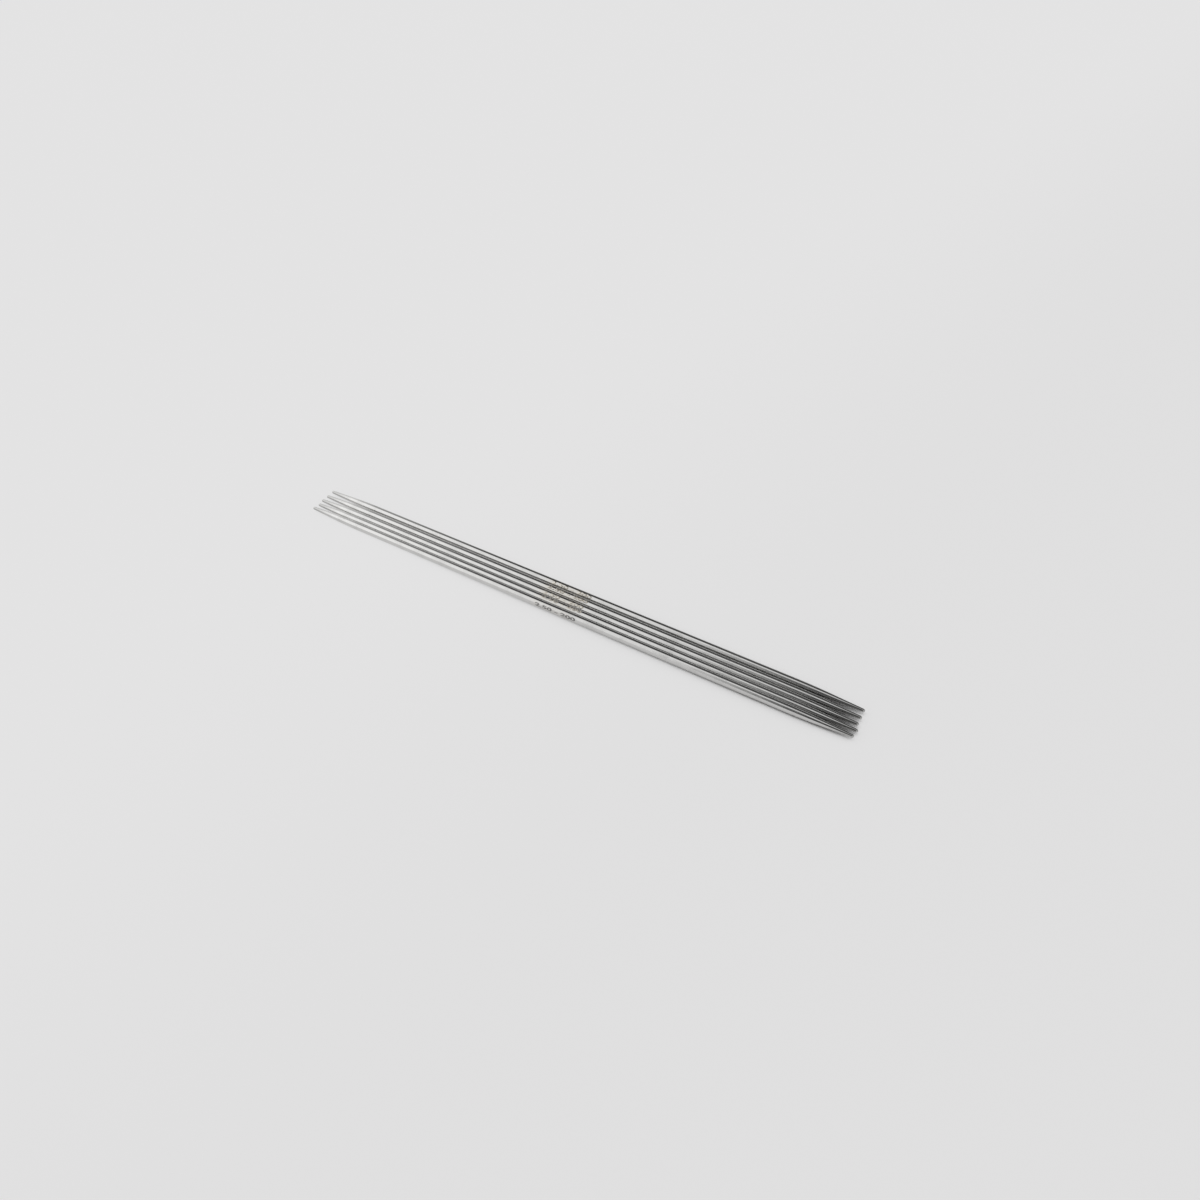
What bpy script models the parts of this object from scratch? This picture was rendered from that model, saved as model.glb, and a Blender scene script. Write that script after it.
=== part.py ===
"""Five straight double-pointed knitting needles, lying side by side.

Units are metres and +Z is up. X runs along the needles, the first needle is at
the back (+Y), and the set rests on the plane z = 0.
"""

import math

import bpy

# Driving dimensions
NEEDLE_LENGTH = 0.200  # tip to tip
SHAFT_DIAMETER = 0.0025
POINT_LENGTH = 0.016  # from the tip to where the cone would meet the shaft in a corner
NOSE_RADIUS = 0.0005  # rounded end of the point, which doesn't split the yarn
SHOULDER_RUN = 0.005  # softened length on each side of that corner
# Clear space between neighbouring shafts, back to front
SIDE_GAPS = (0.00065, 0.00036, 0.00012, 0.00005)
# How far each needle's middle lies along X from the middle of the set, back to front
END_OFFSETS = (-0.0012, -0.0005, 0.0, 0.0011, 0.0012)

# Fineness of the mesh
SIDES = 32  # a multiple of 4 puts a flat on the bottom and on both sides
NOSE_STEPS = 5
SHOULDER_STEPS = 5
MERGE_DISTANCE = 1e-7

# Finish
STEEL_COLOUR = (0.60, 0.59, 0.57, 1.0)
STEEL_ROUGHNESS = 0.18

SHAFT_RADIUS = SHAFT_DIAMETER / 2
HALF_SIDE_ANGLE = math.pi / SIDES


def clear_scene():
    for item in list(bpy.data.objects):
        bpy.data.objects.remove(item, do_unlink=True)


def steel_material():
    material = bpy.data.materials.new("polished_steel")
    material.use_nodes = True
    shader = material.node_tree.nodes["Principled BSDF"]
    shader.inputs["Base Color"].default_value = STEEL_COLOUR
    shader.inputs["Metallic"].default_value = 1.0
    shader.inputs["Roughness"].default_value = STEEL_ROUGHNESS
    return material


def cone_angle():
    """Half angle of the cone that leaves the round nose and meets the shaft at POINT_LENGTH."""
    run = POINT_LENGTH - NOSE_RADIUS
    to_corner = math.hypot(run, SHAFT_RADIUS)
    return math.atan2(SHAFT_RADIUS, run) - math.asin(NOSE_RADIUS / to_corner)


def point_outline():
    """(distance from the tip, radius) along one point: round nose, cone and soft shoulder."""
    angle = cone_angle()
    outline = []
    for step in range(NOSE_STEPS + 1):
        turn = (math.pi / 2 - angle) * step / NOSE_STEPS
        outline.append((NOSE_RADIUS * (1 - math.cos(turn)), NOSE_RADIUS * math.sin(turn)))
    shoulder_radius = SHOULDER_RUN / math.tan(angle / 2)
    for step in range(SHOULDER_STEPS + 1):
        turn = angle * (1 - step / SHOULDER_STEPS)
        distance = POINT_LENGTH + SHOULDER_RUN - shoulder_radius * math.sin(turn)
        outline.append((distance, SHAFT_RADIUS - shoulder_radius * (1 - math.cos(turn))))
    return outline


def needle_mesh():
    """Profile of a whole needle along Z, top to bottom, for turning round Z.

    Its points stand on the corners of the turned polygon, half a side round from X,
    so that the flats touch the true circle and one of them faces along X.
    """
    point = point_outline()
    profile = [(radius, NEEDLE_LENGTH / 2 - distance) for distance, radius in point]
    profile += [(radius, -height) for radius, height in reversed(profile)]
    corner = math.tan(HALF_SIDE_ANGLE)
    vertices = [(radius, radius * corner, height) for radius, height in profile]
    edges = [(index, index + 1) for index in range(len(vertices) - 1)]
    mesh = bpy.data.meshes.new("needle_profile")
    mesh.from_pydata(vertices, edges, [])
    return mesh


def turn_on_lathe(needle):
    screw = needle.modifiers.new("Turned", "SCREW")
    screw.axis = "Z"
    screw.angle = 2 * math.pi
    screw.steps = SIDES
    screw.render_steps = SIDES
    screw.use_merge_vertices = True
    screw.merge_threshold = MERGE_DISTANCE
    screw.use_smooth_shade = True


def needle_rows():
    """Y of each needle's axis, back to front, with the set centred on Y = 0."""
    rows = [0.0]
    for gap in SIDE_GAPS:
        rows.append(rows[-1] - SHAFT_DIAMETER - gap)
    middle = (rows[0] + rows[-1]) / 2
    return [row - middle for row in rows]


def main():
    clear_scene()
    collection = bpy.data.collections.new("double_pointed_needles")
    bpy.context.scene.collection.children.link(collection)
    needle_set = bpy.data.objects.new("needle_set", None)
    collection.objects.link(needle_set)

    mesh = needle_mesh()
    mesh.materials.append(steel_material())
    for number, (offset, row) in enumerate(zip(END_OFFSETS, needle_rows()), start=1):
        needle = bpy.data.objects.new(f"needle_{number}", mesh)
        collection.objects.link(needle)
        needle.parent = needle_set
        needle.location = (offset, row, SHAFT_RADIUS)
        needle.rotation_euler = (0, math.pi / 2, 0)
        turn_on_lathe(needle)


main()
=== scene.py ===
import math

import bmesh
import bpy
from mathutils import Matrix, Vector


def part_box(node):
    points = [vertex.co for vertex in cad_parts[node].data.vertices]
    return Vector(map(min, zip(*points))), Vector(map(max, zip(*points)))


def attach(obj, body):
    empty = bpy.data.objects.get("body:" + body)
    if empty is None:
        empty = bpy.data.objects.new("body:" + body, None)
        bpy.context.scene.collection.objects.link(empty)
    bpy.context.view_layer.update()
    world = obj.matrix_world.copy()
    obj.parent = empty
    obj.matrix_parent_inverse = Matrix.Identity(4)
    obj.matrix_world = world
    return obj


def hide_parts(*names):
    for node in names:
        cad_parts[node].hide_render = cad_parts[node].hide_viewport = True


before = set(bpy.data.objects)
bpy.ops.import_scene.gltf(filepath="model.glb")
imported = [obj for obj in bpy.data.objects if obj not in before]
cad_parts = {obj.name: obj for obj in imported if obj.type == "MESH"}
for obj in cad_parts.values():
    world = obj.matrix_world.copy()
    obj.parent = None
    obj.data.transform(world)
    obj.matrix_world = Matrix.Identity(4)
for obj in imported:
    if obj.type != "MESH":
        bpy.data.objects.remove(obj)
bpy.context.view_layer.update()  # five needles, each on its own body
needleNames = sorted(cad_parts)
mm = 0.001
print("frame loaded:", ", ".join(needleNames))


# Node maths: a Wire is a socket that can stand in a Python sum
class Wire:
    def __init__(self, sheet, node, output=0):
        self.sheet = sheet
        self.node = node
        self.socket = node.outputs[output]

    def out(self, output):
        return Wire(self.sheet, self.node, output)

    def sum(self, operation, first, second):
        return self.sheet.add("ShaderNodeMath", {"operation": operation}, {0: first, 1: second})

    def __add__(self, other):
        return self.sum("ADD", self, other)

    def __radd__(self, other):
        return self.sum("ADD", other, self)

    def __sub__(self, other):
        return self.sum("SUBTRACT", self, other)

    def __rsub__(self, other):
        return self.sum("SUBTRACT", other, self)

    def __mul__(self, other):
        return self.sum("MULTIPLY", self, other)

    def __rmul__(self, other):
        return self.sum("MULTIPLY", other, self)

    def __abs__(self):
        return self.sum("ABSOLUTE", self, 0)


class NodeSheet:
    def __init__(self, owner):
        owner.use_nodes = True
        self.tree = owner.node_tree
        self.tree.nodes.clear()

    # one way to make any node: its type, its settings first, then values or wires for its sockets
    def add(self, kind, settings=None, sockets=None):
        node = self.tree.nodes.new(kind)
        for name, value in (settings or {}).items():
            if name == "stops":
                self.setStops(node.color_ramp, value)
            else:
                setattr(node, name, value)
        for key, value in (sockets or {}).items():
            if isinstance(value, Wire):
                self.tree.links.new(value.socket, node.inputs[key])
            else:
                node.inputs[key].default_value = value
        return Wire(self, node) if node.outputs else None

    def setStops(self, ramp, stops):
        while len(ramp.elements) < len(stops):
            ramp.elements.new(1)
        for element, (position, level) in zip(ramp.elements, stops):
            element.position = position
            element.color = (level, level, level, 1)

    def noise(self, vector, scale, detail, roughness=0.5):
        sockets = {"Vector": vector, "Scale": scale, "Detail": detail, "Roughness": roughness}
        return self.add("ShaderNodeTexNoise", {}, sockets)

    # noise with its own scale along each axis
    def stretchedNoise(self, vector, scales, detail):
        stretched = self.add("ShaderNodeMapping", {}, {"Vector": vector, "Scale": scales})
        return self.noise(stretched, 1, detail)

    # 0 below low and 1 above high, with soft ends
    def ease(self, value, low, high):
        settings = {"interpolation_type": "SMOOTHSTEP"}
        return self.add("ShaderNodeMapRange", settings, {"Value": value, "From Min": low, "From Max": high})

    def blendColour(self, share, first, second):
        return self.add("ShaderNodeMix", {"data_type": "RGBA"}, {0: share, 6: first, 7: second}).out(2)


# Steel of the needles
steelLook = {
    "colour": (0.65, 0.646, 0.637, 1),
    "dullColour": (0.56, 0.556, 0.547, 1),
    "tipColour": (0.46, 0.457, 0.45, 1),  # darker over the last stretch of each point
    "heatTint": (0.62, 0.576, 0.505, 1),  # straw colour round the burnt-in mark
    "roughness": 0.09,
    "smudgeRoughness": 0.09,
    "lineRoughness": 0.05,
    "bumpStrength": 0.12,
    "bumpDistance": 0.004 * mm,
    # where each begins and is full or ends, in mm from the middle of the needle
    "points": (80.0, 87.0),
    "tips": (90.0, 99.0),
    "tinted": (5.115, 9.3),
    "tintFacing": (0.3, 0.95),  # mm from the axis, towards the mark
    "tintBase": 0.35,
    "tintSmudge": 0.8,
    "tintShare": 0.5,
    # noise per mm along, across and up
    "lineScale": (0.12, 22, 22),
    "ringScale": (24, 0.8, 0.8),
    "lineDetail": 3,
    "ringDepth": 0.3,
    "smudgeScale": 0.22,
    "smudgeDetail": 4,
    "smudgeGrain": 0.6,
    "handled": (0.42, 0.68),
    "handledDull": 0.5,
    "speckScale": 3.1,
    "speckDetail": 2,
    "specks": (0.70, 0.78),
    "speckDull": 0.4,
}


def makeSteel(name, centre, markTurn, tint):
    look = steelLook
    material = bpy.data.materials.new(name)
    sheet = NodeSheet(material)
    place = sheet.add("ShaderNodeTexCoord").out("Object")
    # millimetres from the needle's own middle
    local = sheet.add("ShaderNodeMapping", {"vector_type": "TEXTURE"},
                      {"Vector": place, "Location": centre, "Scale": (mm, mm, mm)})
    parts = sheet.add("ShaderNodeSeparateXYZ", {}, {0: local})
    along, across, height = parts.out(0), parts.out(1), parts.out(2)

    # drawing leaves lines along the shaft, grinding leaves rings round the points
    alongLines = sheet.stretchedNoise(local, look["lineScale"], look["lineDetail"])
    rings = sheet.stretchedNoise(local, look["ringScale"], look["lineDetail"])
    onPoint = sheet.ease(abs(along), *look["points"])
    lines = alongLines * (1 - onPoint) + rings * onPoint * look["ringDepth"]

    smudges = sheet.noise(local, look["smudgeScale"], look["smudgeDetail"], look["smudgeGrain"])
    handled = sheet.ease(smudges, *look["handled"])
    specks = sheet.ease(sheet.noise(local, look["speckScale"], look["speckDetail"]), *look["specks"])

    # soft tint on the side that carries the mark
    facing = height * math.cos(markTurn) - across * math.sin(markTurn)
    tinted = (1 - sheet.ease(abs(along), *look["tinted"])) * sheet.ease(facing, *look["tintFacing"])
    patchy = smudges * look["tintSmudge"] + look["tintBase"]
    tinted = tinted * patchy * (tint * look["tintShare"])

    dull = handled * look["handledDull"] + specks * look["speckDull"]
    metal = sheet.blendColour(dull, look["colour"], look["dullColour"])
    metal = sheet.blendColour(sheet.ease(abs(along), *look["tips"]), metal, look["tipColour"])
    colour = sheet.blendColour(tinted, metal, look["heatTint"])
    rough = look["roughness"] + handled * look["smudgeRoughness"] + lines * look["lineRoughness"]
    relief = {"Strength": look["bumpStrength"], "Distance": look["bumpDistance"], "Height": lines}
    bump = sheet.add("ShaderNodeBump", {}, relief)
    sockets = {"Base Color": colour, "Metallic": 1.0, "Roughness": rough, "Normal": bump}
    shader = sheet.add("ShaderNodeBsdfPrincipled", {}, sockets)
    sheet.add("ShaderNodeOutputMaterial", {}, {"Surface": shader})
    return material


# Turned needles
needleForm = {
    "pointLength": 16.0 * mm,  # tip to the corner between cone and shaft
    "noseRadius": 0.5 * mm,
    "shoulderRun": 5.0 * mm,  # softened length on each side of that corner
    "sides": 72,
    "noseSegments": 10,
    "shoulderSegments": 12,
    "shaftCuts": 11,
    "mergeDistance": 1e-7,
}


def roundCorner(bm, corner, run, segments):
    bmesh.ops.bevel(bm, geom=[corner], offset=run, offset_type="OFFSET", segments=segments,
                    profile=0.5, affect="VERTICES", material=-1)  # 0.5 is a round profile


def makeNeedle(name, node):
    form = needleForm
    low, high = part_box(node)
    centre = (low + high) / 2
    radius = (high.z - low.z) / 2
    halfLength = (high.x - low.x) / 2
    run = form["pointLength"] - form["noseRadius"]
    slope = math.atan2(radius, run) - math.asin(form["noseRadius"] / math.hypot(run, radius))
    noseRun = form["noseRadius"] * math.tan((math.pi / 2 - slope) / 2)

    # half the outline as four corners: middle of the tip, its edge, the shoulder and mid shaft
    outline = [(0, 0), (0, noseRun), (form["pointLength"], radius), (halfLength, radius)]
    bm = bmesh.new()
    corners = [bm.verts.new((halfLength - fromTip, 0, out)) for fromTip, out in outline]
    for pair in zip(corners, corners[1:]):
        bm.edges.new(pair)
    roundCorner(bm, corners[2], form["shoulderRun"], form["shoulderSegments"])
    roundCorner(bm, corners[1], noseRun, form["noseSegments"])
    shaft = max(bm.edges, key=lambda edge: edge.calc_length())
    bmesh.ops.subdivide_edges(bm, edges=[shaft], cuts=form["shaftCuts"])
    merge = form["mergeDistance"]
    bmesh.ops.remove_doubles(bm, verts=bm.verts, dist=merge)
    bmesh.ops.mirror(bm, geom=bm.verts[:] + bm.edges[:], matrix=Matrix(), merge_dist=merge, axis="X")
    bmesh.ops.spin(bm, geom=bm.verts[:] + bm.edges[:], cent=(0, 0, 0), axis=(1, 0, 0),
                   angle=2 * math.pi, steps=form["sides"], use_merge=True)
    bmesh.ops.remove_doubles(bm, verts=bm.verts, dist=merge)
    bmesh.ops.recalc_face_normals(bm, faces=bm.faces)
    for face in bm.faces:
        face.smooth = True
    bmesh.ops.translate(bm, verts=bm.verts, vec=centre)
    return finishMesh(bm, name), centre, radius


def finishMesh(bm, name):
    mesh = bpy.data.meshes.new(name)
    bm.to_mesh(mesh)
    bm.free()
    piece = bpy.data.objects.new(name, mesh)
    bpy.context.scene.collection.objects.link(piece)
    return piece


# Etched size marks: diameter and length in millimetres, in plain numbers
markForm = {
    "words": "2.50 - 200",
    "length": 15.0 * mm,
    "height": 1.05 * mm,
    "boldness": 0.035,
    "thickness": 0.008 * mm,
    "proud": 0.002 * mm,
    "shift": 2.0 * mm,  # from the needle's middle
    "cuts": 18,
    "mergeDistance": 1e-5,  # of the flat figures, in the font's own units
    "cutTolerance": 1e-9,
}
markLook = {
    "grey": (0.19, 0.19, 0.193, 1),
    "brown": (0.40, 0.355, 0.295, 1),
    "worn": (0.63, 0.592, 0.525, 1),
    "fade": 0.4,
    "metal": 0.35,
    "wornMetal": 0.65,  # added where the figures are worn
    "roughness": 0.5,
    "wornPolish": 0.45,  # taken off the roughness there
    # noise per metre along, across and up
    "scanScale": (40000, 1500, 1500),
    "scanDetail": 1,
    "scanShare": 0.4,
    "patchScale": 1800,
    "patchDetail": 3,
    "patchGrain": 0.6,
    "patchShare": 0.6,
    "uneven": (0.40, 0.72),
}
# turn from the top towards the front in degrees, brown of the figures, how worn they are,
# and tint of the steel round them
markPlaces = {
    "needle_1": {"turn": 42, "brown": 1.0, "wear": 0.95, "tint": 0.8},
    "needle_2": {"turn": 24, "brown": 1.0, "wear": 0.5, "tint": 1.0},
    "needle_3": {"turn": 32, "brown": 1.0, "wear": 0.92, "tint": 1.0},
    "needle_4": {"turn": 14, "brown": 1.0, "wear": 0.75, "tint": 0.6},
    "needle_5": {"turn": 73, "brown": 0.1, "wear": 0.0, "tint": 0.4},
}


def mixColours(share, first, second):
    return [start + (end - start) * share for start, end in zip(first, second)]


def makeMarkInk(name, brown, wear):
    look = markLook
    material = bpy.data.materials.new(name)
    sheet = NodeSheet(material)
    place = sheet.add("ShaderNodeTexCoord").out("Object")
    # the burning spot leaves close lines across each figure, and burns unevenly
    scan = sheet.stretchedNoise(place, look["scanScale"], look["scanDetail"])
    patches = sheet.noise(place, look["patchScale"], look["patchDetail"], look["patchGrain"])
    uneven = sheet.ease(scan * look["scanShare"] + patches * look["patchShare"], *look["uneven"])
    fade = wear + uneven * (look["fade"] * (1 - wear))
    fresh = mixColours(brown, look["grey"], look["brown"])
    worn = mixColours(brown, steelLook["dullColour"], look["worn"])
    colour = sheet.blendColour(fade, fresh, worn)
    metal = look["metal"] + fade * look["wornMetal"]
    rough = look["roughness"] - fade * look["wornPolish"]
    sockets = {"Base Color": colour, "Metallic": metal, "Roughness": rough}
    shader = sheet.add("ShaderNodeBsdfPrincipled", {}, sockets)
    sheet.add("ShaderNodeOutputMaterial", {}, {"Surface": shader})
    return material


def makeMark(name, centre, radius, turn):
    form = markForm
    text = bpy.data.curves.new(name, "FONT")
    text.body = form["words"]
    text.offset = form["boldness"]
    holder = bpy.data.objects.new(name, text)
    bpy.context.scene.collection.objects.link(holder)
    view = bpy.context.evaluated_depsgraph_get()
    flat = bpy.data.meshes.new_from_object(holder.evaluated_get(view))
    bpy.data.objects.remove(holder)

    bm = bmesh.new()
    bm.from_mesh(flat)
    bmesh.ops.remove_doubles(bm, verts=bm.verts, dist=form["mergeDistance"])
    low = Vector([min(v.co[i] for v in bm.verts) for i in range(3)])
    high = Vector([max(v.co[i] for v in bm.verts) for i in range(3)])
    size = high - low
    bmesh.ops.translate(bm, verts=bm.verts, vec=-(low + high) / 2)
    bmesh.ops.scale(bm, verts=bm.verts, vec=(form["length"] / size.x, form["height"] / size.y, 1))
    # cut across in thin bands so that the figures can bend round the shaft
    for band in range(1, form["cuts"]):
        level = form["height"] * (band / form["cuts"] - 0.5)
        bmesh.ops.bisect_plane(bm, geom=bm.verts[:] + bm.edges[:] + bm.faces[:], dist=form["cutTolerance"],
                               plane_co=(0, level, 0), plane_no=(0, 1, 0))
    bmesh.ops.triangulate(bm, faces=bm.faces)
    skin = radius + form["proud"]
    for vert in bm.verts:
        angle = turn - vert.co.y / radius
        across, up = -skin * math.sin(angle), skin * math.cos(angle)
        vert.co = centre + Vector((form["shift"] + vert.co.x, across, up))
    bmesh.ops.recalc_face_normals(bm, faces=bm.faces)
    bmesh.ops.solidify(bm, geom=bm.faces[:], thickness=form["thickness"])
    return finishMesh(bm, name)


for node in needleNames:
    place = markPlaces[node]
    turn = math.radians(place["turn"])
    needle, centre, radius = makeNeedle("steel_" + node, node)
    needle.data.materials.append(makeSteel("steel_of_" + node, centre, turn, place["tint"]))
    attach(needle, node)
    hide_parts(node)
    mark = makeMark("size_mark_" + node, centre, radius, turn)
    mark.data.materials.append(makeMarkInk("etch_of_" + node, place["brown"], place["wear"]))
    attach(mark, node)
print("needles turned and marked:", len(needleNames))


# Stage: one pale floor
floorLook = {
    "half": 4.0,
    "segments": 8,
    "colour": (0.85, 0.847, 0.847, 1),
    "mottle": (0.84, 0.837, 0.837, 1),
    "mottleScale": 9,
    "mottleDetail": 3,
    "roughness": 0.7,
    # share of open sky over the floor, for a normal that leans to the front or to the back
    "frontLean": (0, -0.45, 0.89),
    "backLean": (0, 0.45, 0.89),
    "shadowReach": 8 * mm,
    "skySamples": 6,
    # painted shade: the floor's colour deepens to this grey where little sky is open, between the points and
    # along the contact lines
    "paintedShadeColour": (0.24, 0.238, 0.238, 1),  # deep between the points
    "corners": (0.36, 0.58),
    "gaps": (0.42, 0.66),  # the narrow gaps stay dark
    "openness": (-0.12, 0.85),
    # plain pale grey that the camera and the reflections see, and its share near by and at the far ends; the
    # share near by follows the open sky, so the glow is taken out of the shade round the needles as painted
    # shadow, and the fixed larger share at the far ends paints the shadows there lighter
    "pale": (0.84, 0.837, 0.84, 1),
    "distantPale": (0.766, 0.763, 0.766, 1),
    "openShare": 0.75,
    "farShare": 0.82,
    "reach": 90 * mm,
    "farOff": (0.35, 1.6),  # metres, where the whole floor turns pale
}


def makeFloor():
    look = floorLook
    bm = bmesh.new()
    bmesh.ops.create_grid(bm, x_segments=look["segments"], y_segments=look["segments"], size=look["half"])
    floor = finishMesh(bm, "floor")
    material = bpy.data.materials.new("pale_board")
    sheet = NodeSheet(material)
    place = sheet.add("ShaderNodeTexCoord").out("Object")

    def openSky(lean):
        side = sheet.add("ShaderNodeCombineXYZ", {}, dict(enumerate(lean)))
        sockets = {"Distance": look["shadowReach"], "Normal": side}
        return sheet.add("ShaderNodeAmbientOcclusion", {"samples": look["skySamples"]}, sockets).out("AO")

    frontSky = openSky(look["frontLean"])
    backSky = openSky(look["backLean"])
    mottle = sheet.noise(place, look["mottleScale"], look["mottleDetail"])
    board = sheet.blendColour(mottle, look["colour"], look["mottle"])
    # painted shade: the board turns darker where little sky is open in front
    colour = sheet.blendColour(sheet.ease(frontSky, *look["corners"]), look["paintedShadeColour"], board)
    sockets = {"Base Color": colour, "Roughness": look["roughness"], "Specular IOR Level": 0.0}
    lit = sheet.add("ShaderNodeBsdfPrincipled", {}, sockets)
    distance = sheet.add("ShaderNodeVectorMath", {"operation": "LENGTH"}, {0: place}).out("Value")
    distant = sheet.ease(distance, *look["farOff"])
    paleColour = sheet.blendColour(distant, look["pale"], look["distantPale"])
    pale = sheet.add("ShaderNodeEmission", {}, {"Color": paleColour, "Strength": 1.0})
    rays = sheet.add("ShaderNodeLightPath")
    seen = rays.out("Is Camera Ray") + rays.out("Is Glossy Ray") + rays.out("Is Transmission Ray")
    parts = sheet.add("ShaderNodeSeparateXYZ", {}, {0: place})
    near = sheet.ease(parts.out(0), -look["reach"], look["reach"])
    # painted shadow: the glow falls away where little sky is open and stays off in the narrow gaps
    openFloor = sheet.ease(backSky, *look["openness"]) * sheet.ease(frontSky, *look["gaps"])
    # painted light: at the far ends the glow does not follow the open sky, so the shadows there are lighter
    share = look["farShare"] * (1 - near) + look["openShare"] * near * openFloor
    share = seen * (1 - (1 - share) * (1 - distant))
    shader = sheet.add("ShaderNodeMixShader", {}, {0: share, 1: lit, 2: pale})
    sheet.add("ShaderNodeOutputMaterial", {}, {"Surface": shader})
    floor.data.materials.append(material)


makeFloor()


# Light: a bright room with a dark gap where the camera stands, and a dark wall behind the needles
roomLight = {
    # places run from the left (-1) to the right (1), lifts in degrees up from the back horizon
    "walls": [
        (-1.0, 1.35), (-0.82, 1.35), (-0.73, 1.3), (-0.62, 1.225), (-0.52, 1.025), (-0.42, 1.01),
        (-0.39, 1.08), (-0.375, 1.02), (-0.335, 0.83), (-0.24, 0.88), (-0.1, 0.72), (0.05, 0.35),
        (0.3, 0.3), (0.6, 0.42), (1.0, 0.25),
    ],
    "brightest": 1.5,
    "horizon": 0.766,  # pale band that the low views see
    "horizonTop": (0.165, 0.24),
    # two low lamps on the right, in front and behind
    "frontLamp": 1.0,
    "frontLampLift": (125, 145),
    "backLamp": 0.3,
    "backLampLift": (35, 60),
    "lampLeft": (0.0, 0.2),
    "lampRight": (0.5, 0.8),
    # dark wall behind: its top and its darkness go from one value at the left to one at the right
    "wallLeft": (-0.8, -0.52),
    "wallTurn": (-0.62, -0.3),
    "wallTops": (80, 84),
    "wallSoft": 8,
    "wallDarks": (0.97, 0.9),
    # dark gap in front
    "gapLeft": (-0.44, -0.33),
    "gapLift": (100, 124),
    "gapDark": 0.9,
    "darkRight": (-0.05, 0.1),  # where the wall and the gap end
}


def lightRoom():
    look = roomLight
    world = bpy.data.worlds.new("soft_room")
    bpy.context.scene.world = world
    sheet = NodeSheet(world)
    parts = sheet.add("ShaderNodeSeparateXYZ", {}, {0: sheet.add("ShaderNodeTexCoord").out("Generated")})
    right, back, up = parts.out(0), parts.out(1), parts.out(2)
    # the ramp runs from 0 to 1 in place and in brightness
    stops = [(0.5 + place / 2, level / look["brightest"]) for place, level in look["walls"]]
    walls = sheet.add("ShaderNodeValToRGB", {"stops": stops}, {0: right * 0.5 + 0.5}) * look["brightest"]
    # 0 at the back horizon, 90 overhead, 180 at the front horizon
    lift = sheet.add("ShaderNodeMath", {"operation": "ARCTAN2"}, {0: up, 1: back}) * math.degrees(1)
    leftTop, rightTop = look["wallTops"]
    leftDark, rightDark = look["wallDarks"]
    rightward = sheet.ease(right, *look["wallTurn"])
    wallTop = leftTop + (rightTop - leftTop) * rightward
    wallDark = leftDark + (rightDark - leftDark) * rightward
    below = 1 - sheet.ease(lift - wallTop, -look["wallSoft"], look["wallSoft"])
    behind = below * sheet.ease(right, *look["wallLeft"])
    gap = sheet.ease(lift, *look["gapLift"]) * sheet.ease(right, *look["gapLeft"])
    darkSide = 1 - sheet.ease(right, *look["darkRight"])
    room = walls * (1 - behind * darkSide * wallDark) * (1 - gap * darkSide * look["gapDark"])
    frontLamp = look["frontLamp"] * sheet.ease(lift, *look["frontLampLift"])
    backLamp = look["backLamp"] * (1 - sheet.ease(lift, *look["backLampLift"]))
    onRight = sheet.ease(right, *look["lampLeft"]) * (1 - sheet.ease(right, *look["lampRight"]))
    room = room + (frontLamp + backLamp) * onRight
    high = sheet.ease(up, *look["horizonTop"])
    level = look["horizon"] * (1 - high) + room * high
    shader = sheet.add("ShaderNodeBackground", {}, {"Color": (1, 1, 1, 1), "Strength": level})
    sheet.add("ShaderNodeOutputWorld", {}, {"Surface": shader})


lightRoom()
print("stage and light set")

# Camera at the photograph's angle, worked out for a 1200 pixel square
photoView = {"azimuth": 35.7, "elevation": 34.9, "distance": 409 * mm, "target": (9.2 * mm, 7.9 * mm, 0),
             "focalPixels": 1350, "framePixels": 1200, "sensor": 36.0, "clipStart": 0.01}


def placeCamera():
    around, above = math.radians(photoView["azimuth"]), math.radians(photoView["elevation"])
    back = Vector((math.sin(around) * math.cos(above), -math.cos(around) * math.cos(above), math.sin(above)))
    data = bpy.data.cameras.new("photo_camera")
    data.sensor_width = photoView["sensor"]
    data.lens = photoView["sensor"] * photoView["focalPixels"] / photoView["framePixels"]
    data.clip_start = photoView["clipStart"]
    camera = bpy.data.objects.new("photo_camera", data)
    bpy.context.scene.collection.objects.link(camera)
    camera.location = Vector(photoView["target"]) + back * photoView["distance"]
    camera.rotation_euler = (-back).to_track_quat("-Z", "Y").to_euler()
    bpy.context.scene.camera = camera


placeCamera()
bpy.context.scene.view_settings.view_transform = "Standard"
print("camera placed")
